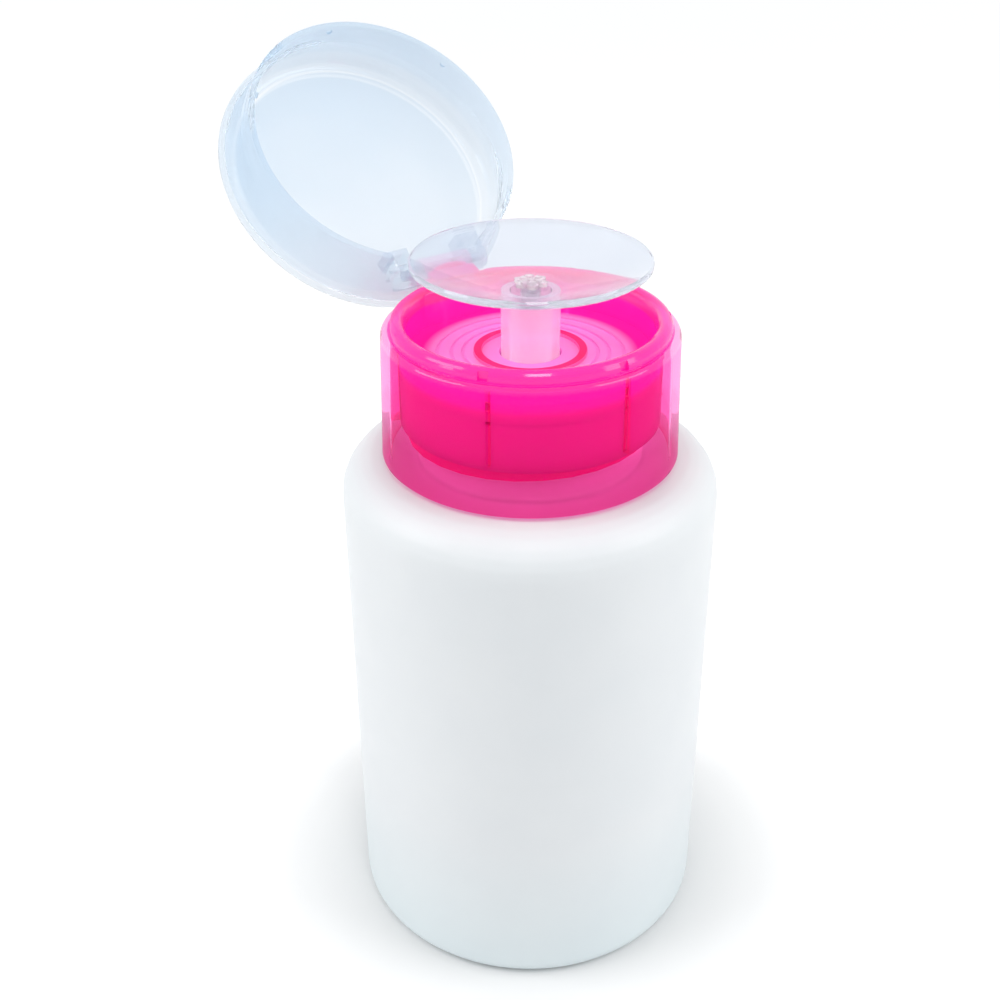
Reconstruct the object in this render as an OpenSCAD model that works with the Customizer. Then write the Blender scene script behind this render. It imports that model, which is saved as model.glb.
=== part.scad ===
// Press-top oil dispenser bottle: blow-moulded bottle, screw collar with a press
// dish and spring pump, and a flip lid. +Z is up and the origin is the centre of
// the ring that the bottle stands on. The lid's hinge is at the back (+Y).

/* [Bottle] */
// Outside diameter of the bottle
bottle_d = 62; // [54:1:80]
// Height of the flat shoulder above the table
shoulder_z = 89.5; // [80:0.5:130]
// Wall thickness of the bottle
bottle_wall = 1.2; // [0.8:0.1:2]
// Radius of the rounded shoulder
shoulder_r = 6.5; // [2:0.5:6.5]
// Radius of the edge at the foot
foot_r = 3; // [1.5:0.5:5]
// Width of the flat ring that the bottle stands on
foot_ring_w = 3; // [2:0.5:6]
// Height of the hollow under the base
base_rise = 1.4; // [0.5:0.1:3]
// Outside diameter of the neck
neck_d = 36.8; // [34:0.2:38]
// Height of the neck above the shoulder
neck_h = 13; // [11:0.5:18]
// Wall thickness of the neck
neck_wall = 1.7; // [1.2:0.1:2.5]

/* [Thread] */
// Rise of the thread in one turn
thread_pitch = 4.2; // [3.6:0.1:5]
// Height of the thread ridge above its wall
thread_depth = 1; // [0.6:0.1:1.1]
// Width of the ridge at its root
thread_w = 1.6; // [1:0.1:1.7]
// Turns of thread on the neck
neck_turns = 1.2; // [0.8:0.1:1.5]
// Turns of thread in the collar
collar_turns = 0.8; // [0.5:0.1:1]
// Height of the thread's start above the shoulder
thread_start = 4.6; // [4:0.1:5.5]
// Gap between the two threads, across and along
thread_gap = 0.3; // [0.15:0.05:0.4]

/* [Collar] */
// Diameter of the collar at its lower edge
collar_d = 48.3; // [46:0.1:54]
// Diameter of the collar at the step under the lid
collar_top_d = 47.2; // [46.8:0.1:48]
// Gap between the collar's lower edge and the shoulder
collar_lift = 0.5; // [0.3:0.1:2]
// Wall thickness of the outer skirt
skirt_wall = 1.5; // [1:0.1:1.8]
// Thickness of the well's floor
deck_t = 1.5; // [1:0.1:2.5]
// Depth of the well below the step
well_depth = 4.3; // [3:0.1:6]
// Radius of the step's rounded edge
step_edge_r = 0.9; // [0.3:0.1:0.9]
// Height of the ring above the step
ring_h = 1.9; // [1.5:0.1:2]
// Outside diameter of the ring
ring_d = 44.6; // [43:0.1:44.6]
// Thickness of the ring
ring_wall = 2.6; // [1.6:0.1:2.6]
// Thickness of the step's plate
step_t = 1.6; // [1:0.1:2.5]
// Wall thickness of the threaded inner skirt
inner_wall = 1.3; // [1:0.1:1.6]
// Length of the threaded inner skirt below the floor
inner_skirt_h = 9.2; // [7:0.1:9.5]
// Number of webs between the skirts
web_n = 6; // [3:1:12]
// Angle of the first web from the front
web_angle = 5; // [0:1:30]
// Thickness of each web
web_t = 0.8; // [0.6:0.1:1.5]
// Inner radius of the raised bead around the stem
bead_r = 7.7; // [6.5:0.1:8.2]
// Width of that bead
bead_w = 1.3; // [0.8:0.1:1.6]
// Height of that bead
bead_h = 0.5; // [0.2:0.1:1]
// Radii of the fine grooves in the well's floor
groove_radii = [10.7, 12.5, 14.8];
// Width of a floor groove
groove_w = 0.6; // [0.3:0.1:1]
// Depth of a floor groove
groove_t = 0.35; // [0.2:0.05:0.6]

/* [Lid and hinge] */
// How far the lid stands open
lid_open = 137; // [0:1:137]
// Outside diameter of the lid at its mouth
lid_mouth_d = 47.4; // [47.4:0.1:48.4]
// Outside diameter of the lid at its closed end
lid_top_d = 52; // [49:0.1:56]
// Height of the lid from mouth to closed end
lid_h = 14; // [13.8:0.1:20]
// Wall thickness of the lid at its mouth
lid_wall = 1; // [0.8:0.05:1]
// Thickness of the lid's closed end
lid_top_t = 1.2; // [0.8:0.1:1.3]
// Radius of the lid's outer edge
lid_edge_r = 3; // [2:0.1:4]
// Height of the raised disc inside the lid's closed end
lid_disc_h = 0.3; // [0.1:0.1:0.6]
// Gap between the closed lid and the step
lid_gap = 0.2; // [0.1:0.05:0.5]
// Distance of the hinge axis from the bottle's axis
hinge_r = 24.1; // [24.1:0.1:24.8]
// Height of the hinge axis above the step
hinge_z_above_step = 2.7; // [2.5:0.1:2.9]
// Diameter of the hinge pin
pin_d = 1.6; // [1.2:0.1:2]
// Radius of the hinge knuckles
knuckle_r = 1.9; // [1.6:0.1:2]
// Width of the collar's knuckle
knuckle_w = 9.4; // [6:0.1:10]
// Width of each of the lid's two hinge ears
ear_w = 3; // [2:0.1:3]
// Gap between an ear and the knuckle
ear_gap = 0.25; // [0.2:0.05:0.4]
// Reach of the ear's brace inside the lid
brace_reach = 3.4; // [2:0.1:3.6]
// Width of the ear's brace
brace_w = 4.3; // [3.4:0.1:4.4]
// Height of the ear's brace
brace_h = 3.4; // [2:0.1:4]
// Wall thickness of the brace's frame
brace_wall = 0.9; // [0.6:0.1:1.2]
// Angle between the lid's snap nubs
snap_angle = 56; // [40:1:70]
// Number of snap nubs
snap_n = 3; // [1:2:3]
// Height of a snap nub above the lid's inner wall
nub_h = 0.45; // [0.3:0.05:0.5]
// Width of a snap groove in the ring
snap_groove_w = 1.6; // [1.4:0.1:2.4]
// Depth of a snap groove in the ring
snap_groove_t = 0.5; // [0.4:0.05:0.8]

/* [Press dish] */
// Diameter of the dish
dish_d = 37.6; // [30:0.2:38]
// Depth of the dish
dish_depth = 4.4; // [2:0.1:5]
// Thickness of the dish
dish_t = 1.2; // [0.8:0.1:1.6]
// Height of the dish's hub above the well's floor
dish_lift = 10; // [9:0.1:10.2]
// How far the dish is pressed down
stroke = 7.5; // [4:0.1:7.5]
// Outside diameter of the stem
stem_d = 9.34; // [8:0.02:10]
// Wall thickness of the stem
stem_wall = 1.35; // [1:0.05:1.5]
// Diameter of the outlet plug in the dish
plug_d = 3.2; // [2.8:0.1:3.6]
// Number of petals on the outlet plug
petal_n = 6; // [4:1:8]

/* [Pump] */
// Inside diameter of the pump cylinder
bore_d = 13; // [12.6:0.1:14]
// Wall thickness of the pump cylinder
cylinder_wall = 1.2; // [0.8:0.1:1.2]
// Thickness of the cylinder's flange
flange_t = 1.5; // [1:0.1:2.5]
// Thickness of the neck gasket
gasket_t = 1.1; // [0.6:0.1:2]
// Length of the guide bush in the cylinder
bush_h = 6.4; // [4:0.1:8]
// Height of the piston seal
seal_h = 4.2; // [3:0.1:5]
// Free height of the return spring in place
spring_h = 17.2; // [15.4:0.1:25]
// Diameter of the spring wire
wire_d = 0.8; // [0.6:0.05:1]
// Turns of the return spring
spring_turns = 7; // [5:0.5:8]
// Diameter of the inlet ball
inlet_ball_d = 4; // [3:0.1:4.2]
// Lift of the inlet ball
inlet_lift = 1.2; // [0.6:0.1:1.5]
// Diameter of the outlet ball
outlet_ball_d = 3; // [2.6:0.1:3]
// Lift of the outlet ball
outlet_lift = 1; // [0.5:0.1:1]
// Outside diameter of the dip tube
tube_d = 5; // [4:0.1:5.4]
// Wall thickness of the dip tube
tube_wall = 0.8; // [0.5:0.1:1]
// Length of the tube inside the cylinder's socket
tube_grip = 8.5; // [5:0.5:12]
// Distance of the tube's cut end from the bottle's floor
tube_foot_gap = 2.4; // [1:0.1:6]
// Depth of the inlet ball's chamber below the cylinder's floor
ball_well_h = 7; // [6:0.5:9]
// Length of the rod's head inside the stem
rod_head_h = 6.5; // [5:0.5:8]
// Length of the dish's spigot inside the stem
spigot_h = 6; // [3:0.5:8]

/* [Fits] */
// Radial running clearance of a pin or piston
run_fit = 0.05; // [0.02:0.01:0.1]
// Radial clearance between pieces pushed together
push_fit = 0.03; // [0.01:0.01:0.05]
// Gap between faces that turn on each other
face_gap = 0.1; // [0.05:0.05:0.3]
// Clearance of the stem in the well's floor and the bush
stem_gap = 0.3; // [0.2:0.05:0.5]
// Air gap of a stop that is not pressed together
stop_gap = 0.3; // [0.1:0.05:0.5]

/* [Hidden] */
$fn = 96;
arc_steps = 6;         // straight stretches in a small rounded edge
sink = 0.2;            // how deep one shape of a piece runs into the next
cut = 1;               // how far a cutting shape runs past a face

bottle_r = bottle_d / 2;
neck_r = neck_d / 2;
neck_top_z = shoulder_z + neck_h;
flange_z = neck_top_z + gasket_t;
deck_bottom_z = flange_z + flange_t + face_gap;
deck_z = deck_bottom_z + deck_t;
step_z = deck_z + well_depth;
ring_top_z = step_z + ring_h;
collar_z = shoulder_z + collar_lift;
collar_r = collar_d / 2;
step_r = collar_top_d / 2;
ring_r = ring_d / 2;
well_r = ring_r - ring_wall;
thread_r = neck_r + thread_depth;
socket_r = thread_r + thread_gap;
inner_skirt_r = socket_r + inner_wall;
inner_skirt_z = deck_bottom_z - inner_skirt_h;
stem_r = stem_d / 2;
stem_hole_r = stem_r + stem_gap;

hinge_z = step_z + hinge_z_above_step;
pin_r = pin_d / 2;
ear_x = knuckle_w / 2 + ear_gap;
ear_out_x = ear_x + ear_w;
flat_half = ear_out_x - sink;
flat_y = sqrt(pow(well_r, 2) - pow(flat_half, 2));
lid_z = step_z + lid_gap;
lid_mouth_r = lid_mouth_d / 2;
lid_top_r = lid_top_d / 2;
lid_cut_half = ear_out_x + 1.4;         // half width of the lid's cut-out at the hinge
lid_cut_z = hinge_z + knuckle_r + 0.4;  // how high that cut-out runs in the closed lid
gusset_drop = 6.5;                      // how far the knuckle's gusset runs down the skirt
edge = 0.3;                             // small broken edge

dish_z = deck_z + dish_lift;
dish_r = dish_d / 2;
hub_r = stem_r + 0.5;
stem_bore_r = stem_r - stem_wall;
plug_r = plug_d / 2;

bore_r = bore_d / 2;
cylinder_r = bore_r + cylinder_wall;
bush_rim = 2;          // how far the bush's flange rests on the cylinder's
bush_flange_r = bore_r + bush_rim;
flange_top_z = flange_z + flange_t;
bush_z = flange_z - bush_h;
seal_top_z = bush_z - stop_gap;
seal_z = seal_top_z - seal_h;
rod_flange_t = 0.8;
spring_top_z = seal_z - rod_flange_t;
spring_z = spring_top_z - spring_h;
cage_flange_t = 0.8;
cylinder_floor_z = spring_z - cage_flange_t;

ring_set_back = 1.1;   // how far the ring's rear is set back for the lid's mouth
ring_rear_clear = 0.3;
catch_reach = 0.25;    // how far the collar's catch bead stands under the flange's rim
collar_ridge_z = shoulder_z + thread_start - thread_w - thread_gap;

rod_r = stem_bore_r + 0.4;
rod_bore_r = 1;
rod_tail = 3.5;        // length of the rod's tail inside the spring
stem_foot_z = seal_top_z;
outlet_chamber_r = outlet_ball_d / 2 + 0.6;  // leaves a way for the oil past the ball
outlet_seat_z = seal_z + 0.6;
outlet_ball_z = outlet_seat_z - rod_bore_r + outlet_ball_d / 2 * sqrt(2) + push_fit;
rod_top_z = stem_foot_z + rod_head_h;

inlet_chamber_r = inlet_ball_d / 2 + 1;      // leaves a way for the oil past the ball
inlet_bore_r = 1.4;
inlet_seat_z = cylinder_floor_z - ball_well_h;
inlet_ball_z = inlet_seat_z - inlet_bore_r + inlet_ball_d / 2 * sqrt(2) + push_fit;
tube_bore_r = tube_d / 2 + push_fit;
tube_stop_z = inlet_seat_z - 1.4;
tube_socket_z = tube_stop_z - tube_grip;
cone_h = 2;            // height of the cone under the cylinder's floor
socket_out_r = max(tube_bore_r, inlet_chamber_r) + 1.2;

seal_wire_r = 0.55;    // radius of the stem seal's round section
seal_ring_r = stem_r + run_fit + seal_wire_r;
seal_ring_z = flange_top_z - seal_wire_r - face_gap;
bush_seat_z = flange_z + 0.3;           // where the bush's flange rests in the cylinder

function arc(cx, cy, r, a0, a1, n = arc_steps) =
    [for (i = [0:n]) let (a = a0 + (a1 - a0) * i / n) [cx + r * cos(a), cy + r * sin(a)]];

// A straight bar of trapezium section wound into a ridge: r is its root radius,
// side is +1 for a ridge that stands outwards and -1 for one that stands inwards.
module ridge(r, side, z0, turns) {
    per_turn = 28;
    n = ceil(turns * per_turn);
    root = thread_w / 2;
    crest = thread_w / 4;
    section = [[-sink, -root], [thread_depth, -crest], [thread_depth, crest], [-sink, root]];
    fade = 3;
    points = [for (i = [0:n], k = [0:3])
        let (a = 360 * turns * i / n,
             grow = min(1, (i + 0.5) / fade, (n - i + 0.5) / fade),
             out = k == 0 || k == 3 ? section[k][0] : section[k][0] * grow,
             rr = r + side * out,
             z = z0 + thread_pitch * turns * i / n + section[k][1])
        [rr * cos(a), rr * sin(a), z]];
    sides = [for (i = [0:n - 1], k = [0:3])
        let (p = 4 * i + k, q = 4 * i + (k + 1) % 4)
        each [[p, q, q + 4], [p, q + 4, p + 4]]];
    last = 4 * n;
    ends = [[3, 2, 1, 0], [last, last + 1, last + 2, last + 3]];
    faces = concat(sides, ends);
    turned = [for (f = faces) [for (j = [len(f) - 1:-1:0]) f[j]]];
    polyhedron(points, side > 0 ? faces : turned, convexity = 6);
}

module bottle() {
    r = bottle_r;
    w = bottle_wall;
    shoulder = concat(
        arc(r - shoulder_r, shoulder_z - shoulder_r, shoulder_r, 0, 90),
        [[neck_r, shoulder_z], [neck_r, neck_top_z]]);
    inside_r = shoulder_r - w;
    inside = concat(
        [[neck_r - neck_wall, neck_top_z], [neck_r - neck_wall, shoulder_z - w]],
        arc(r - shoulder_r, shoulder_z - shoulder_r, inside_r, 90, 0),
        arc(r - foot_r, foot_r, foot_r - w, 0, -90),
        [[r - foot_r - foot_ring_w, w], [r - foot_r - foot_ring_w - 2 * base_rise, base_rise + w],
         [0, base_rise + w]]);
    outside = concat(
        [[0, base_rise], [r - foot_r - foot_ring_w - 2 * base_rise, base_rise],
         [r - foot_r - foot_ring_w, 0]],
        arc(r - foot_r, foot_r, foot_r, -90, 0));
    color([0.93, 0.95, 0.96, 0.8]) {
        rotate_extrude() polygon(concat(outside, shoulder, inside));
        ridge(neck_r, 1, shoulder_z + thread_start, neck_turns);
    }
}

module ring_solid(r_in, r_out, z0, z1) {
    translate([0, 0, z0]) difference() {
        cylinder(r = r_out, h = z1 - z0);
        translate([0, 0, -cut]) cylinder(r = r_in, h = z1 - z0 + 2 * cut);
    }
}

module neck_gasket() {
    color("whitesmoke") ring_solid(neck_r - neck_wall + sink, neck_r - 0.6, neck_top_z, flange_z);
}

// Places its children at each snap position, opposite the hinge.
module at_snaps() {
    for (i = [0:snap_n - 1]) rotate([0, 0, (i - (snap_n - 1) / 2) * snap_angle - 90]) children();
}

// The hinge knuckle's side outline, in the plane of radius and height, from the
// ring over the step down to the skirt.
module knuckle_outline() {
    translate([hinge_r, hinge_z]) circle(r = knuckle_r, $fn = 48);
    polygon([
        [ring_r - ring_wall + sink, deck_z], [ring_r - ring_wall + sink, ring_top_z - sink],
        [hinge_r - knuckle_r * cos(70), hinge_z + knuckle_r * sin(70) - 1.2],
        [hinge_r, hinge_z],
        [hinge_r + knuckle_r * cos(50), hinge_z - knuckle_r * sin(50)],
        [step_r, step_z - gusset_drop], [step_r - skirt_wall, step_z - gusset_drop],
        [step_r - skirt_wall, step_z - step_t]]);
}

// Extrudes a side outline given in radius and height into a slab between x0 and x1.
module slab_x(x0, x1) {
    translate([x0, 0, 0]) rotate([90, 0, 90]) linear_extrude(height = x1 - x0) children();
}

module collar() {
    crown = ring_wall / 2;
    ring_mid = ring_r - crown;
    catch_z = flange_z - face_gap;
    web_z = inner_skirt_z + 1;
    rear_wall = 1.6;
    slot_t = 1;
    outer = concat(
        [[collar_r - skirt_wall, collar_z], [collar_r - edge, collar_z], [collar_r, collar_z + edge]],
        arc(step_r - step_edge_r, step_z - step_edge_r, step_edge_r, 0, 90, arc_steps),
        [[ring_r, step_z]],
        arc(ring_mid, ring_top_z - crown, crown, 0, 180, 10),
        [[well_r, deck_z], [0, deck_z], [0, deck_bottom_z], [socket_r, deck_bottom_z],
         [socket_r, inner_skirt_z], [inner_skirt_r, inner_skirt_z],
         [inner_skirt_r, step_z - step_t], [step_r - skirt_wall, step_z - step_t]]);
    color([0.99, 0.05, 0.5, 0.9]) {
        difference() {
            union() {
                rotate_extrude() polygon(outer);
                // flat chord behind the ring at the hinge
                intersection() {
                    translate([-flat_half, flat_y, deck_z - sink])
                        cube([2 * flat_half, ring_r, ring_top_z - crown / 2 - deck_z + sink]);
                    cylinder(r = ring_mid, h = ring_top_z);
                }
                slab_x(-knuckle_w / 2, knuckle_w / 2) knuckle_outline();
                // raised bead around the stem
                ring_solid(bead_r, bead_r + bead_w, deck_z - sink, deck_z + bead_h);
                // webs between the two skirts
                for (i = [0:web_n - 1]) rotate([0, 0, i * 360 / web_n + web_angle - 90])
                    translate([inner_skirt_r - sink, -web_t / 2, web_z])
                        cube([collar_r - skirt_wall - inner_skirt_r + 2 * sink, web_t,
                              step_z - step_t - web_z + sink]);
                ridge(socket_r, -1, collar_ridge_z, collar_turns);
                // bead that carries the pump when the collar is lifted off
                rotate_extrude() polygon([
                    [socket_r + sink, catch_z], [neck_r - catch_reach, catch_z],
                    [neck_r - catch_reach, catch_z - 0.2], [socket_r + sink, catch_z - 0.7]]);
            }
            translate([0, 0, deck_bottom_z - cut])
                cylinder(r = stem_hole_r, h = deck_t + 2 * cut + bead_h);
            for (g = groove_radii)
                ring_solid(g - groove_w / 2, g + groove_w / 2, deck_z - groove_t, deck_z + cut / 2);
            at_snaps() translate([ring_r - snap_groove_t, -snap_groove_w / 2, step_z + sink])
                cube([cut + snap_groove_t, snap_groove_w, ring_h]);
            // the rear of the ring is set back so that the lid's mouth can swing past it
            difference() {
                ring_solid(ring_r - rear_wall, ring_r + cut, step_z, ring_top_z + cut);
                translate([0, -ring_set_back, step_z - cut])
                    cylinder(r = ring_r + ring_rear_clear, h = ring_h + 3 * cut);
                slab_x(-knuckle_w / 2, knuckle_w / 2) knuckle_outline();
            }
            // bore for the hinge pin
            translate([-knuckle_w / 2 - cut, hinge_r, hinge_z]) rotate([0, 90, 0])
                cylinder(r = pin_r + run_fit, h = knuckle_w + 2 * cut);
            // slots that clear the lid's ears
            for (side = [0, 1]) mirror([side, 0, 0])
                translate([ear_x - ear_gap, well_r + 0.4, ring_top_z - slot_t])
                    cube([ear_w + 2 * ear_gap, ring_wall + 2 * sink, slot_t + cut]);
        }
    }
}

// The lid's outline in radius and height, from its mouth to its closed end.
function lid_outline(off) =
    let (flare_z0 = 3, flare_z1 = lid_h - lid_edge_r, n = 6, e = lid_edge_r - off,
         top_r = lid_top_r - off, mouth_r = lid_mouth_r - (off > 0 ? lid_wall : 0))
    concat(
        [[mouth_r, 0]],
        [for (i = [0:n]) let (t = i / n, ease = (1 - cos(180 * t)) / 2)
            [mouth_r + (top_r - mouth_r) * ease, flare_z0 + (flare_z1 - flare_z0) * t]],
        [for (i = [1:arc_steps]) let (a = 90 * i / arc_steps)
            [top_r - e + e * cos(a), flare_z1 + e * sin(a)]]);

module hinge_ear() {
    root_y = lid_mouth_r - lid_wall - 0.7;
    root_h = 2.4;
    slab_x(ear_x, ear_out_x) {
        translate([hinge_r, hinge_z]) circle(r = knuckle_r, $fn = 48);
        polygon([
            [hinge_r - knuckle_r, hinge_z], [hinge_r - knuckle_r + 0.1, hinge_z + root_h],
            [root_y, lid_cut_z], [root_y, lid_cut_z + root_h],
            [lid_mouth_r + 0.6, lid_cut_z + root_h], [hinge_r + knuckle_r, hinge_z + 1]]);
    }
}

// A small open frame on the lid's inner wall that stiffens the root of an ear.
module ear_brace() {
    into_wall = 0.3;
    y1 = lid_mouth_r - lid_wall + into_wall;
    z0 = ring_top_z + 0.6;
    depth = brace_reach + into_wall;
    translate([ear_x, y1 - depth, z0]) difference() {
        cube([brace_w, depth, brace_h]);
        translate([brace_wall, brace_wall, -cut])
            cube([brace_w - 2 * brace_wall, depth - 2 * brace_wall, brace_h + 2 * cut]);
    }
}

module lid_closed() {
    inner = lid_outline(lid_top_t);
    floor_z = lid_h - lid_top_t;
    floor_r = lid_top_r - lid_edge_r;
    wall = concat(lid_outline(0),
        [[0, lid_h], [0, floor_z - lid_disc_h], [floor_r - lid_disc_h, floor_z - lid_disc_h],
         [floor_r, floor_z]],
        [for (i = [len(inner) - 2:-1:0]) inner[i]]);
    nub_r = 0.5;
    difference() {
        union() {
            difference() {
                translate([0, 0, lid_z]) rotate_extrude() polygon(wall);
                translate([-lid_cut_half, 0, lid_z - cut])
                    cube([2 * lid_cut_half, lid_top_r + cut, lid_cut_z - lid_z + cut]);
            }
            for (side = [0, 1]) mirror([side, 0, 0]) {
                hinge_ear();
                ear_brace();
            }
            at_snaps() translate([lid_mouth_r - lid_wall - nub_h, 0, lid_z + nub_r + sink])
                rotate([0, 90, 0]) cylinder(r = nub_r, h = nub_h + sink);
        }
        // bore that grips the hinge pin
        translate([-ear_out_x - cut, hinge_r, hinge_z]) rotate([0, 90, 0])
            cylinder(r = pin_r + push_fit, h = 2 * (ear_out_x + cut));
    }
}

module lid() {
    color([0.9, 0.94, 0.97, 0.35])
        translate([0, hinge_r, hinge_z]) rotate([-lid_open, 0, 0]) translate([0, -hinge_r, -hinge_z])
            lid_closed();
}

module hinge_pin() {
    color([0.9, 0.94, 0.97, 0.6])
        translate([-ear_out_x, hinge_r, hinge_z]) rotate([0, 90, 0]) cylinder(r = pin_r, h = 2 * ear_out_x);
}

module press_dish() {
    n = 8;
    rim_r = dish_r - edge;
    rim_z = dish_z + dish_depth;
    under_r = hub_r + 0.4;
    mouth_r = plug_r + push_fit;
    spigot_r = stem_bore_r - push_fit;
    rise = [for (i = [0:n]) dish_depth * pow(i / n, 1.25)];
    top = [for (i = [0:n]) [hub_r + (rim_r - hub_r) * i / n, dish_z + dish_t + rise[i]]];
    under = [for (i = [n:-1:0]) [under_r + (rim_r - under_r) * i / n, dish_z + rise[i]]];
    color([0.93, 0.94, 0.97, 0.45]) rotate_extrude() polygon(concat(
        [[mouth_r, dish_z + dish_t - 0.5], [mouth_r + 0.4, dish_z + dish_t]],
        top, [[dish_r, rim_z + dish_t - edge], [dish_r, rim_z + edge]], under,
        [[spigot_r, dish_z], [spigot_r, dish_z - spigot_h], [mouth_r, dish_z - spigot_h]]));
}

module outlet_plug() {
    seat_z = dish_z + dish_t + push_fit;
    foot_z = dish_z - 1.5;
    head_h = 0.9;
    petal_r = 0.85;
    outlet_r = 0.6;
    slit_w = 0.5;
    color([0.96, 0.97, 0.99, 0.7]) difference() {
        union() {
            translate([0, 0, foot_z]) cylinder(r = plug_r, h = seat_z - foot_z + sink);
            for (i = [0:petal_n - 1]) rotate([0, 0, i * 360 / petal_n])
                translate([plug_r + 0.3, 0, seat_z]) cylinder(r = petal_r, h = head_h - 0.3);
            translate([0, 0, seat_z]) cylinder(r = plug_r + 0.2, h = head_h);
        }
        translate([0, 0, foot_z - cut]) cylinder(r = outlet_r, h = seat_z + head_h - foot_z + 2 * cut);
        for (i = [0:petal_n - 1]) rotate([0, 0, (i + 0.5) * 360 / petal_n])
            translate([0.3, -slit_w / 2, seat_z + head_h - slit_w]) cube([plug_r + 1, slit_w, cut]);
    }
}

module stem_tube() {
    color([0.98, 0.85, 0.93, 0.6]) ring_solid(stem_bore_r, stem_r, stem_foot_z, dish_z - push_fit);
}

module plunger_rod() {
    r_in = rod_bore_r;
    tail_r = rod_r + 0.8;
    tail_z = spring_top_z - rod_tail;
    flange_r = bore_r - 0.5;
    spigot_r = stem_bore_r - push_fit;
    chamber = outlet_chamber_r;
    color("white") rotate_extrude() polygon([
        [r_in, tail_z], [tail_r, tail_z], [tail_r, spring_top_z], [flange_r, spring_top_z],
        [flange_r, seal_z], [rod_r, seal_z], [rod_r, stem_foot_z - push_fit],
        [spigot_r, stem_foot_z - push_fit], [spigot_r, rod_top_z], [chamber, rod_top_z],
        [chamber, outlet_seat_z + chamber - r_in], [r_in, outlet_seat_z]]);
}

module piston_seal() {
    lip = 1.1;
    lead = 0.4;
    waist = 0.8;
    r = bore_r - run_fit;
    r_in = rod_r + push_fit;
    z0 = seal_z + push_fit;
    z1 = seal_top_z - lead;
    mid = (z0 + z1) / 2;
    color("gainsboro") rotate_extrude() polygon([
        [r_in, z0], [r - waist - lead, z0], [r, z0 + lead], [r, z0 + lip], [r - waist, mid - lead],
        [r - waist, mid + lead], [r, z1 - lip + lead], [r, z1 - lead], [r - lead, z1], [r_in, z1]]);
}

module outlet_ball() {
    color("silver") translate([0, 0, outlet_ball_z]) sphere(r = outlet_ball_d / 2);
}

// Two crossed bars that a ball rises against.
module ball_stop(r, z0, w) {
    bar_h = 0.8;
    for (a = [0, 90]) rotate([0, 0, a])
        translate([-r + sink, -w / 2, z0]) cube([2 * (r - sink), w, bar_h]);
}

module ball_retainer() {
    z0 = outlet_ball_z + outlet_ball_d / 2 + outlet_lift + face_gap;
    color("whitesmoke") {
        ring_solid(outlet_chamber_r - push_fit - 0.7, outlet_chamber_r - push_fit, z0, rod_top_z);
        ball_stop(outlet_chamber_r - push_fit, z0, 0.6);
    }
}

// One coil spring as a wire wound from foot to head, with its end turns laid flat.
module return_spring() {
    rw = wire_d / 2;
    rc = bore_r - 0.7 - rw;
    per_turn = 18;
    sides = 8;
    n = floor(spring_turns * per_turn);
    free = spring_h - wire_d - 2 * push_fit;
    lay = 1 / spring_turns;
    end_rise = wire_d * 1.02;
    points = [for (i = [0:n], k = [0:sides - 1])
        let (a = 360 * i / per_turn,
             t = i / n,
             u = min(max((t - lay) / (1 - 2 * lay), 0), 1),
             lift = end_rise * (min(t / lay, 1) + max((t - 1 + lay) / lay, 0)),
             z = spring_z + push_fit + rw + lift + (free - 2 * end_rise) * u,
             b = 360 * k / sides,
             r = rc + rw * cos(b))
        [r * cos(a), r * sin(a), z + rw * sin(b)]];
    walls = [for (i = [0:n - 1], k = [0:sides - 1])
        let (p = sides * i + k, q = sides * i + (k + 1) % sides)
        each [[p, q + sides, p + sides], [p, q, q + sides]]];
    foot = [for (k = [sides - 1:-1:0]) k];
    head = [for (k = [0:sides - 1]) sides * n + k];
    color("silver") polyhedron(points, concat(walls, [foot, head]), convexity = 10);
}

module pump_cylinder() {
    recess = bush_flange_r + push_fit;
    floor_t = 0.6;
    color([0.96, 0.96, 0.96, 0.9]) difference() {
        rotate_extrude() polygon([
            [tube_bore_r, tube_socket_z], [socket_out_r, tube_socket_z],
            [socket_out_r, cylinder_floor_z - floor_t - cone_h], [cylinder_r, cylinder_floor_z - floor_t],
            [cylinder_r, flange_z], [neck_r - push_fit, flange_z], [neck_r - push_fit, flange_top_z],
            [recess, flange_top_z], [recess, bush_seat_z], [bore_r, bush_seat_z],
            [bore_r, cylinder_floor_z], [inlet_chamber_r, cylinder_floor_z],
            [inlet_chamber_r, inlet_seat_z + inlet_chamber_r - inlet_bore_r], [inlet_bore_r, inlet_seat_z],
            [inlet_bore_r, tube_stop_z], [tube_bore_r, tube_stop_z]]);
        // vent hole, covered by the piston seal at rest
        translate([0, 0, seal_z + seal_h / 2]) rotate([90, 0, 0])
            cylinder(r = 0.5, h = cylinder_r + cut);
    }
}

module guide_bush() {
    groove_r = seal_ring_r + seal_wire_r + face_gap;
    groove_z = seal_ring_z - seal_wire_r - face_gap;
    seat_z = bush_seat_z + push_fit;
    color("white") rotate_extrude() polygon([
        [stem_hole_r, bush_z], [bore_r - push_fit, bush_z], [bore_r - push_fit, seat_z],
        [bush_flange_r, seat_z], [bush_flange_r, flange_top_z],
        [groove_r, flange_top_z], [groove_r, groove_z], [stem_hole_r, groove_z]]);
}

module stem_seal() {
    color("dimgray") translate([0, 0, seal_ring_z]) rotate_extrude()
        translate([seal_ring_r, 0]) circle(r = seal_wire_r, $fn = 32);
}

module inlet_ball() {
    color("silver") translate([0, 0, inlet_ball_z]) sphere(r = inlet_ball_d / 2);
}

module ball_cage() {
    z0 = inlet_ball_z + inlet_ball_d / 2 + inlet_lift + face_gap;
    r = inlet_chamber_r - push_fit;
    wall = 0.8;
    color("whitesmoke") {
        ring_solid(r - wall, r, z0, spring_z - sink);
        ring_solid(r - wall, bore_r - 0.5, cylinder_floor_z + push_fit, spring_z);
        ball_stop(r, z0, wall);
    }
}

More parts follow.
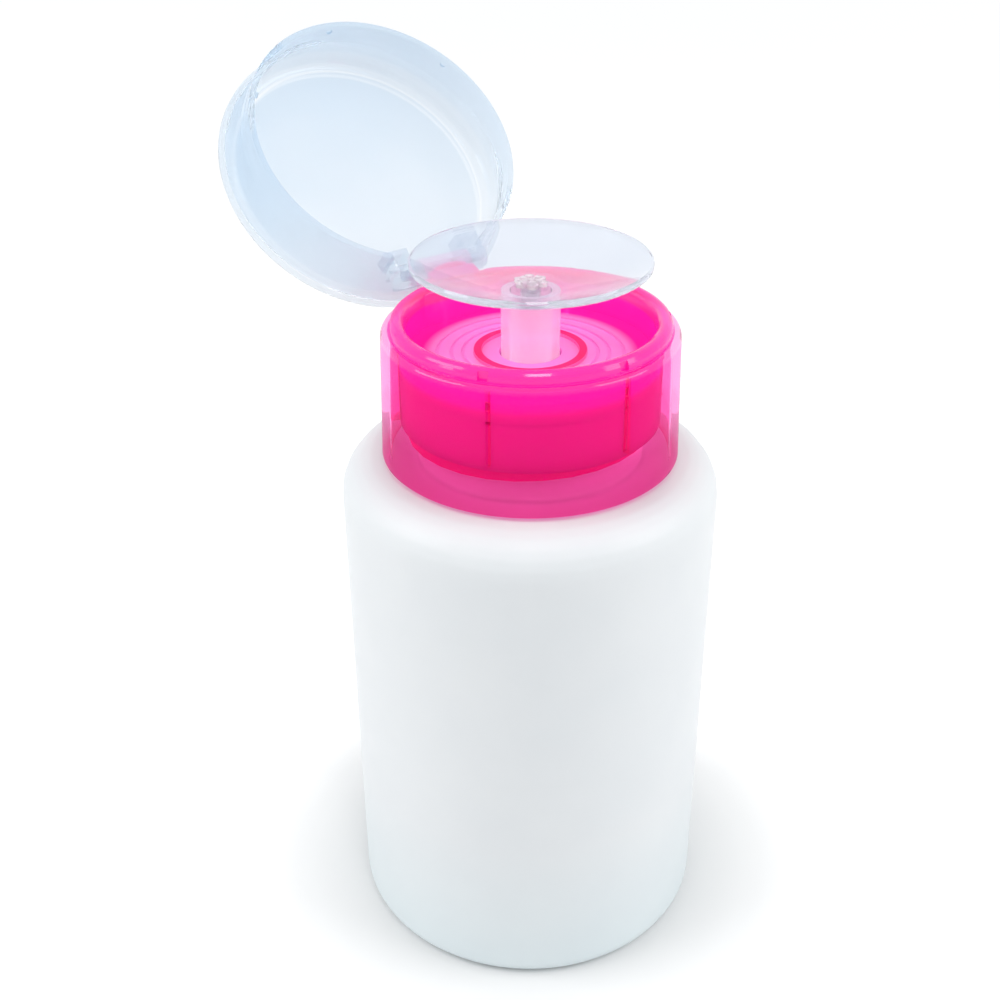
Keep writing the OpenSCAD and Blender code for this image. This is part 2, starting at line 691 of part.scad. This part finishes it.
module dip_tube() {
    top_z = tube_stop_z - push_fit;
    foot_z = base_rise + bottle_wall + tube_foot_gap;
    tube_r = tube_d / 2;
    color([0.97, 0.97, 0.97, 0.6]) difference() {
        ring_solid(tube_r - tube_wall, tube_r, foot_z, top_z);
        // slanted foot, so that the tube can't seal against the floor
        translate([0, 0, foot_z]) rotate([0, 35, 0]) translate([-3 * tube_r, -2 * tube_r, -2 * tube_r])
            cube([6 * tube_r, 4 * tube_r, 2 * tube_r]);
    }
}

bottle();
neck_gasket();
collar();
lid();
hinge_pin();
press_dish();
outlet_plug();
stem_tube();
plunger_rod();
piston_seal();
outlet_ball();
ball_retainer();
return_spring();
pump_cylinder();
guide_bush();
stem_seal();
inlet_ball();
ball_cage();
dip_tube();
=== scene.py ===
import math

import bpy
from mathutils import Matrix, Vector


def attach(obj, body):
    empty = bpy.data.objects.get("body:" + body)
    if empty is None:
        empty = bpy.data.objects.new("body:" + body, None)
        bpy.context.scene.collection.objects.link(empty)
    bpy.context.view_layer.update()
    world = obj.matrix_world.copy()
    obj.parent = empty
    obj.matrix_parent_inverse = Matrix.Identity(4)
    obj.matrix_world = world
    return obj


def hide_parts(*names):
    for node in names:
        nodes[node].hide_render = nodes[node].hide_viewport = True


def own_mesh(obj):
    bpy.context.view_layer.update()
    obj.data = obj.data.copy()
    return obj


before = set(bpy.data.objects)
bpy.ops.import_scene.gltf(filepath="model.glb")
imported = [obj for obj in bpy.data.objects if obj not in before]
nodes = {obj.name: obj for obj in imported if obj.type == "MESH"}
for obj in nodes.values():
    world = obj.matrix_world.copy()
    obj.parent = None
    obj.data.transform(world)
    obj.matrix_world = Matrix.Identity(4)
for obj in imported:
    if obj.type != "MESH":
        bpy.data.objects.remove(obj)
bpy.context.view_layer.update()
MM = 0.001

# the part's own sizes, in millimetres
INNER_SKIRT_R = 21.0             # from the axis to the collar's inner skirt, outside
RING_R = 22.4                    # from the axis to just outside the collar's raised ring
HINGE_Y, HINGE_Z = 24.1, 113.7
LID_OPEN = 137                   # degrees
LID_DISC_R = 22.7                # the raised disc in the lid's floor

# heights between which one tint, painted shade, painted glow or coat of the collar turns into the next, in
# millimetres
FOOT_SHADE_Z = (96.5, 98.5)            # above the outer skirt's lower band, darkened with painted shade
SOCKET_Z = (105.4, 106.0)        # just above the thread socket, which ends at 105.2, where the painted glow in its face stops
DECK_Z = (105.4, 106.6)          # within the well's floor, 105.2 to 106.7, where the painted shade beneath it fades out
REAR_Z = (109.0, 110.0)          # below the paler rear, where the hinge knuckle stands on the step
GLOSS_Z = (109.9, 110.5)         # below what has a full coat
RING_Z = (110.2, 110.7)          # within the step, just below the raised ring, which starts at 111

# noise scales, in cycles per metre
DRIFT_SCALE, GLOSS_SCALE, GRAIN_SCALE, METAL_SCALE = 60, 220, 2500, 3000


# ---------------------------------------------------------------- node helpers

def new_material(name):
    """An empty node material with its Principled shader and output joined."""
    mat = bpy.data.materials.new(name)
    mat.use_nodes = True
    tree = mat.node_tree
    tree.nodes.clear()
    out = tree.nodes.new("ShaderNodeOutputMaterial")
    shader = tree.nodes.new("ShaderNodeBsdfPrincipled")
    tree.links.new(shader.outputs["BSDF"], out.inputs["Surface"])
    return mat, tree, shader


def shader_of(mat):
    """A material's tree, its Principled shader and the colour that feeds it."""
    tree = mat.node_tree
    shader = next(n for n in tree.nodes if n.type == "BSDF_PRINCIPLED")
    return tree, shader, shader.inputs["Base Color"].links[0].from_socket


def own_space(tree):
    """Places in the piece's own space."""
    coord = tree.nodes.new("ShaderNodeTexCoord")
    return coord.outputs["Object"]


def turned(tree, angle, shift):
    """The piece's own space turned about X and shifted."""
    place = tree.nodes.new("ShaderNodeMapping")
    place.inputs["Rotation"].default_value = (angle, 0, 0)
    place.inputs["Location"].default_value = shift
    tree.links.new(own_space(tree), place.inputs["Vector"])
    return place.outputs["Vector"]


def along(tree, axis, start, end, space=None):
    """0 to 1 along one axis between two places in metres."""
    split = tree.nodes.new("ShaderNodeSeparateXYZ")
    tree.links.new(space or own_space(tree), split.inputs["Vector"])
    span = tree.nodes.new("ShaderNodeMapRange")
    span.inputs["From Min"].default_value = start
    span.inputs["From Max"].default_value = end
    tree.links.new(split.outputs[axis], span.inputs["Value"])
    return span.outputs["Result"]


def from_axis(tree, reach, space=None):
    """0 to 1 with the distance from the upright axis, up to a reach in metres."""
    flat = tree.nodes.new("ShaderNodeMapping")
    flat.inputs["Scale"].default_value = (1 / reach, 1 / reach, 0)
    length = tree.nodes.new("ShaderNodeVectorMath")
    length.operation = "LENGTH"
    tree.links.new(space or own_space(tree), flat.inputs["Vector"])
    tree.links.new(flat.outputs["Vector"], length.inputs[0])
    return length.outputs["Value"]


def noise(tree, scale, detail=3.0):
    """Noise in the piece's own space."""
    tex = tree.nodes.new("ShaderNodeTexNoise")
    tex.inputs["Scale"].default_value = scale
    tex.inputs["Detail"].default_value = detail
    tree.links.new(own_space(tree), tex.inputs["Vector"])
    return tex.outputs["Fac"]


def grey(value):
    """A colour with three equal parts."""
    return (value, value, value)


def stops(tree, source, points):
    """A colour ramp through several (position, colour or grey value) points."""
    node = tree.nodes.new("ShaderNodeValToRGB")
    elements = node.color_ramp.elements
    while len(elements) < len(points):
        elements.new(0.5)
    for element, (position, value) in zip(elements, points):
        element.position = position
        element.color = (*(value if isinstance(value, tuple) else grey(value)), 1)
    tree.links.new(source, node.inputs["Fac"])
    return node.outputs["Color"]


def drifting(tree, source, low, high):
    """Two colours blended by a noise value."""
    return stops(tree, source, [(0.3, low), (0.7, high)])


def tinted(tree, color, tint):
    """One colour multiplied by another."""
    node = tree.nodes.new("ShaderNodeMix")
    node.data_type = "RGBA"
    node.blend_type = "MULTIPLY"
    node.inputs["Factor"].default_value = 1.0
    tree.links.new(color, node.inputs["A"])
    tree.links.new(tint, node.inputs["B"])
    return node.outputs["Result"]


def blended(tree, factor, first, second):
    """One colour or link turning into another with a 0 to 1 value."""
    node = tree.nodes.new("ShaderNodeMix")
    node.data_type = "RGBA"
    tree.links.new(factor, node.inputs["Factor"])
    for socket, value in (("A", first), ("B", second)):
        if isinstance(value, tuple):
            node.inputs[socket].default_value = (*value, 1)
        else:
            tree.links.new(value, node.inputs[socket])
    return node.outputs["Result"]


# ---------------------------------------------------------------- materials

def plastic(name, low, high, roughness, transmission=0.0, ior=1.49, bump=0.02,
            subsurface=0.0, coat=0.0, soften=0.0):
    """Moulded plastic: slight colour drift, uneven gloss, fine texture, and softened edges if asked."""
    mat, tree, shader = new_material(name)
    color = drifting(tree, noise(tree, DRIFT_SCALE, 2.0), low, high)
    tree.links.new(color, shader.inputs["Base Color"])
    spread = tree.nodes.new("ShaderNodeMapRange")
    spread.inputs["To Min"].default_value = roughness * 0.8
    spread.inputs["To Max"].default_value = roughness * 1.25
    tree.links.new(noise(tree, GLOSS_SCALE), spread.inputs["Value"])
    tree.links.new(spread.outputs["Result"], shader.inputs["Roughness"])
    grain = tree.nodes.new("ShaderNodeBump")
    grain.inputs["Strength"].default_value = bump
    grain.inputs["Distance"].default_value = 0.1 * MM
    tree.links.new(noise(tree, GRAIN_SCALE, 2.0), grain.inputs["Height"])
    if soften:
        edge = tree.nodes.new("ShaderNodeBevel")
        edge.samples = 6
        edge.inputs["Radius"].default_value = soften
        tree.links.new(edge.outputs["Normal"], grain.inputs["Normal"])
    tree.links.new(grain.outputs["Normal"], shader.inputs["Normal"])
    shader.inputs["IOR"].default_value = ior
    shader.inputs["Transmission Weight"].default_value = transmission
    shader.inputs["Subsurface Weight"].default_value = subsurface
    shader.inputs["Subsurface Radius"].default_value = (1.0, 1.0, 1.0)
    shader.inputs["Subsurface Scale"].default_value = 2 * MM
    shader.inputs["Coat Weight"].default_value = coat
    return mat


def metal(name, color, roughness):
    """Bright metal with a fine grain."""
    mat, tree, shader = new_material(name)
    darker = tuple(c * 0.9 for c in color)
    tree.links.new(drifting(tree, noise(tree, METAL_SCALE, 2.0), darker, color), shader.inputs["Base Color"])
    shader.inputs["Metallic"].default_value = 1.0
    shader.inputs["Roughness"].default_value = roughness
    return mat


def shaded(mat, axis, start, end, far):
    """Tints a material toward another colour along one axis of the piece."""
    tree, shader, color = shader_of(mat)
    tint = stops(tree, along(tree, axis, start, end), [(0, 1), (1, far)])
    tree.links.new(tinted(tree, color, tint), shader.inputs["Base Color"])
    return mat


def with_painted_glow(mat, color):
    """Painted light: an emission that makes a translucent piece glow, standing in for light that reaches it
    from inside.
    """
    shader = shader_of(mat)[1]
    shader.inputs["Emission Color"].default_value = (*color, 1)
    shader.inputs["Emission Strength"].default_value = 1.0
    return mat


def pink_plastic():
    """Clear pink: pale in the well's thin floor, deep in its bead, its ring and the inner skirt, the last
    partly by painted shade; painted shade also darkens the well's floor beside its wall and the outer
    skirt's lower band, and a painted glow lights the plastic.
    """
    mat = plastic("collar_pink", (0.985, 0.95, 0.98), (1, 1, 1), 0.1, ior=1.01, bump=0.01)
    tree, shader, drift = shader_of(mat)
    # millimetres that the ramps cover, in height and outward from the axis
    low, high, reach = 90, 115, 25
    height = along(tree, "Z", low * MM, high * MM)
    outward = from_axis(tree, reach * MM)

    def by_height(*points):
        return stops(tree, height, [((z - low) / (high - low), value) for z, value in points])

    def fading(heights, below, above):
        return by_height((heights[0], below), (heights[1], above))

    def by_radius(points, source=outward):
        return stops(tree, source, [(r / reach, value) for r, value in points])

    # the ring and what lies within the inner skirt, without the webs and the outer skirt
    grown = tree.nodes.new("ShaderNodeMath")
    tree.links.new(outward, grown.inputs[0])
    tree.links.new(fading(RING_Z, (RING_R - INNER_SKIRT_R) / reach, 0), grown.inputs[1])
    inside = by_radius([(RING_R, 1), (RING_R + 0.15, 0)], grown.outputs[0])
    crown = tinted(tree, inside, fading(RING_Z, 0, 1))
    rear = stops(tree, along(tree, "Y", (RING_R - 0.3) * MM, (RING_R + 0.3) * MM), [(0, 0), (1, 1)])
    knuckle = tinted(tree, rear, fading(REAR_Z, 0, 1))

    # well, on the outer part of the well's floor beside its wall, is deepened with painted shade and a
    # painted reflection of the wall
    floor, bead, well, wall = (0.99, 0.32, 0.77), (0.98, 0.03, 0.20), (0.98, 0.02, 0.44), (0.99, 0.012, 0.62)
    # (millimetres from the axis, tint)
    zones = by_radius([(7.6, floor), (7.8, bead), (8.9, bead), (9.1, floor), (15.6, floor), (17.2, well),
                       (19.8, well), (20.2, wall)])
    # painted shade: below the well's floor, all that lies within the inner skirt is darkened, for the shade
    # inside the collar
    painted_shade_below_deck = by_height((95, (0.60, 0.4, 0.55)), (DECK_Z[0], (0.68, 0.5, 0.66)), (DECK_Z[1], 1))
    ring = by_radius([(20.0, (0.98, 0.03, 0.28)), (20.6, (0.99, 0.012, 0.36))])
    core = blended(tree, crown, tinted(tree, zones, painted_shade_below_deck), ring)
    skirt = blended(tree, knuckle, (1.0, 0.36, 0.70), (0.99, 0.80, 0.92))
    # painted shade: the outer skirt's lower band is darkened, for the shaded gap behind it
    outer = tinted(tree, fading(FOOT_SHADE_Z, (0.88, 0.72, 0.80), 1), skirt)
    tree.links.new(tinted(tree, drift, blended(tree, inside, outer, core)), shader.inputs["Base Color"])
    tree.links.new(blended(tree, inside, grey(1), grey(0.35)), shader.inputs["Transmission Weight"])
    tree.links.new(fading(GLOSS_Z, 0.12, 1), shader.inputs["Coat Weight"])
    shader.inputs["Coat Roughness"].default_value = 0.1

    # painted glow: an emission standing in for light scattered in the plastic, most of it in the well and in
    # the face of the thread socket, with a faint one in the outer skirt
    painted_glow = tinted(tree, core, by_height((104.5, 0.06), (106.4, 0.24)))
    face = by_radius([(19.2, 0), (19.5, 1), (20.0, 1), (20.3, 0)])
    socket = tinted(tree, face, fading(SOCKET_Z, 1, 0))
    painted_glow = blended(tree, socket, painted_glow, (0.27, 0.003, 0.09))
    tree.links.new(blended(tree, inside, (0.05, 0.0, 0.008), painted_glow), shader.inputs["Emission Color"])
    shader.inputs["Emission Strength"].default_value = 1.0
    return mat


def lid_plastic():
    """The clear lid: darker and bluer toward the top as it stands open, a painted shade, and a painted
    highlight as a pale line and edge round its disc.
    """
    mat = plastic("lid_clear", (0.80, 0.865, 0.925), (0.83, 0.885, 0.935), 0.12, transmission=0.85,
                  ior=1.03, coat=0.4, bump=0.01)
    # painted shade: darker and bluer toward the top of the open lid
    shaded(mat, "Z", 0.116, 0.146, (0.83, 0.905, 0.97))
    tree, shader, color = shader_of(mat)
    # the lid is drawn open: turned back about its hinge, its axis is upright again
    angle, y, z = math.radians(LID_OPEN), HINGE_Y * MM, HINGE_Z * MM
    shift = (0, y - y * math.cos(angle) + z * math.sin(angle), z - y * math.sin(angle) - z * math.cos(angle))
    closed = turned(tree, angle, shift)
    # painted highlight: a pale line and band round the edge of the disc in the lid's floor, for light its
    # fillet refracts and reflects
    reach = 27
    # (millimetres past the disc's edge, how pale)
    pale = [(-0.3, 0), (0, 1), (0.35, 1), (0.6, 0.35), (2.1, 0.35), (2.5, 0)]
    edge = stops(tree, from_axis(tree, reach * MM, closed),
                 [((LID_DISC_R + past) / reach, value) for past, value in pale])
    lid_floor = stops(tree, along(tree, "Z", 0.1195, 0.1210, closed), [(0, 0), (1, 1)])
    painted_highlight_mask = tinted(tree, edge, lid_floor)
    tree.links.new(blended(tree, painted_highlight_mask, color, (0.97, 0.985, 1.0)), shader.inputs["Base Color"])
    return mat


# a little darker and cooler toward the bottom of the bottle, over its heel
bottle_frosted = shaded(
    plastic("bottle_frosted", (0.782, 0.812, 0.832), (0.806, 0.832, 0.848), 0.42, subsurface=0.25, bump=0.05,
            soften=1.6 * MM),
    "Z", 0.03, 0.0, (0.92, 0.99, 1.0))
collar_pink = pink_plastic()
lid_clear = lid_plastic()
dish_clear = plastic("dish_clear", (0.78, 0.83, 0.90), (0.81, 0.85, 0.91), 0.12, transmission=0.8,
                     ior=1.04, coat=0.6, bump=0.01)
# painted glow: an emission lightens the stem, which stands in the dish's shade
stem_natural = with_painted_glow(
    plastic("stem_natural", (0.99, 0.90, 0.96), (1, 0.94, 0.98), 0.2, transmission=0.62, ior=1.03, coat=0.4),
    (0.13, 0.05, 0.09))
plug_frosted = plastic("plug_frosted", (0.97, 0.94, 0.96), (1, 0.97, 0.99), 0.15, transmission=0.7,
                       ior=1.1, coat=0.8)
rod_natural = plastic("rod_natural", (0.97, 0.86, 0.93), (0.99, 0.90, 0.96), 0.3, transmission=0.6,
                      ior=1.05, bump=0.03)
inner_white = plastic("inner_white", (0.86, 0.86, 0.86), (0.89, 0.89, 0.88), 0.4, bump=0.03)
seal_natural = plastic("seal_natural", (0.93, 0.86, 0.90), (0.96, 0.90, 0.93), 0.4, transmission=0.4,
                       ior=1.05, bump=0.05)
steel_bright = metal("steel_bright", (0.72, 0.72, 0.74), 0.25)

for material, dressed in (
    (bottle_frosted, ["bottle"]),
    (collar_pink, ["collar"]),
    (lid_clear, ["lid", "hinge_pin"]),
    (dish_clear, ["press_dish"]),
    (stem_natural, ["stem_tube"]),
    (plug_frosted, ["outlet_plug", "dip_tube"]),
    (rod_natural, ["plunger_rod"]),
    (seal_natural, ["piston_seal", "stem_seal"]),
    (steel_bright, ["return_spring", "outlet_ball", "inlet_ball"]),
    (inner_white, ["neck_gasket", "pump_cylinder", "guide_bush", "ball_cage", "ball_retainer"]),
):
    for node in dressed:
        mesh = nodes[node].data
        mesh.materials.clear()
        mesh.materials.append(material)


# ---------------------------------------------------------------- return spring

def make_coil():
    """A copy of the return spring, attached to the pump's body, standing in for the hidden original."""
    coil = bpy.data.objects.new("return_coil", nodes["return_spring"].data.copy())
    bpy.context.scene.collection.objects.link(coil)
    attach(coil, "pump")
    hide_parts("return_spring")
    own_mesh(coil)


make_coil()


# ---------------------------------------------------------------- stage, light, camera

def seen_directly(tree):
    """1 for camera, glossy and transmitted rays, so that mirrors and clear plastic show the white too."""
    path = tree.nodes.new("ShaderNodeLightPath")
    total = path.outputs["Is Camera Ray"]
    for name in ("Is Glossy Ray", "Is Transmission Ray"):
        node = tree.nodes.new("ShaderNodeMath")
        node.operation = "MAXIMUM"
        tree.links.new(total, node.inputs[0])
        tree.links.new(path.outputs[name], node.inputs[1])
        total = node.outputs[0]
    return total


def make_floor():
    """A pale floor that an emission, a painted light, lifts toward white away from the object's contact
    shadow, washing out the lamps' shadows beside it.
    """
    half = 4.0
    # (metres from the axis, how much the floor is lifted)
    painted_light_lift = [(0.036, 0.0), (0.044, 0.14), (0.060, 0.50), (0.12, 0.50), (0.3, 0.24), (1.2, 0.42), (half, 0.85)]
    corners = [(-half, -half, 0), (half, -half, 0), (half, half, 0), (-half, half, 0)]
    mesh = bpy.data.meshes.new("floor")
    mesh.from_pydata(corners, [], [(0, 1, 2, 3)])
    floor = bpy.data.objects.new("floor", mesh)
    bpy.context.scene.collection.objects.link(floor)
    mat, tree, shader = new_material("floor_white")
    shader.inputs["Base Color"].default_value = (0.80, 0.80, 0.80, 1)
    shader.inputs["Roughness"].default_value = 0.9
    shader.inputs["Specular IOR Level"].default_value = 0.0
    shader.inputs["Emission Color"].default_value = (1, 1, 1, 1)
    strength = tree.nodes.new("ShaderNodeMath")
    strength.operation = "MULTIPLY"
    tree.links.new(seen_directly(tree), strength.inputs[0])
    tree.links.new(stops(tree, from_axis(tree, half), [(r / half, value) for r, value in painted_light_lift]),
                   strength.inputs[1])
    tree.links.new(strength.outputs[0], shader.inputs["Emission Strength"])
    mesh.materials.append(mat)


def make_world():
    """White where it is seen, and an even, slightly cool light elsewhere."""
    world = bpy.data.worlds.new("studio")
    world.use_nodes = True
    tree = world.node_tree
    tree.nodes.clear()
    out = tree.nodes.new("ShaderNodeOutputWorld")
    mix = tree.nodes.new("ShaderNodeMixShader")
    tree.links.new(seen_directly(tree), mix.inputs["Fac"])
    for socket, color, strength in ((1, (0.97, 0.985, 1.0), 0.62), (2, (1, 1, 1), 1.0)):
        node = tree.nodes.new("ShaderNodeBackground")
        node.inputs["Color"].default_value = (*color, 1)
        node.inputs["Strength"].default_value = strength
        tree.links.new(node.outputs[0], mix.inputs[socket])
    tree.links.new(mix.outputs[0], out.inputs["Surface"])
    bpy.context.scene.world = world


def softbox(name, place, side, power):
    """A square lamp aimed at the middle of the object."""
    lamp = bpy.data.lights.new(name, "AREA")
    lamp.shape = "RECTANGLE"
    lamp.size = lamp.size_y = side
    lamp.energy = power
    obj = bpy.data.objects.new(name, lamp)
    bpy.context.scene.collection.objects.link(obj)
    obj.location = place
    aim = Vector((0, 0, 70)) * MM - Vector(place)
    obj.rotation_euler = aim.to_track_quat("-Z", "Y").to_euler()
    obj.visible_camera = False


def make_camera():
    """The photograph's viewpoint, fitted to it: 38 degrees left of the front, looking down by 30."""
    turn = Matrix.Rotation(math.radians(-38), 3, "Z")
    spot = turn @ Vector((0, -200.54, 194.47)) * MM
    pitch, yaw, roll = (math.radians(v) for v in (29.82, -1.418, -0.373))
    ahead = Vector((math.sin(yaw) * math.cos(pitch), math.cos(yaw) * math.cos(pitch), -math.sin(pitch)))
    level = Vector((math.cos(yaw), -math.sin(yaw), 0))
    steep = level.cross(ahead)
    right = math.cos(roll) * level + math.sin(roll) * steep
    up = math.cos(roll) * steep - math.sin(roll) * level
    axes = Matrix((turn @ right, turn @ up, -(turn @ ahead))).transposed()
    data = bpy.data.cameras.new("camera")
    data.sensor_fit = "HORIZONTAL"
    data.sensor_width = 36
    data.lens = 49.507
    data.clip_start, data.clip_end = 0.01, 20
    cam = bpy.data.objects.new("camera", data)
    bpy.context.scene.collection.objects.link(cam)
    cam.matrix_world = Matrix.Translation(spot) @ axes.to_4x4()
    bpy.context.scene.camera = cam


make_floor()
make_world()
softbox("left", (-0.83, 0.44, 0.78), 0.7, 5.6)
softbox("right", (0.63, -0.70, 0.7), 0.7, 4.8)
softbox("crown", (-0.22, -0.42, 1.0), 0.24, 1.5)
make_camera()
bpy.context.scene.view_settings.view_transform = "Standard"
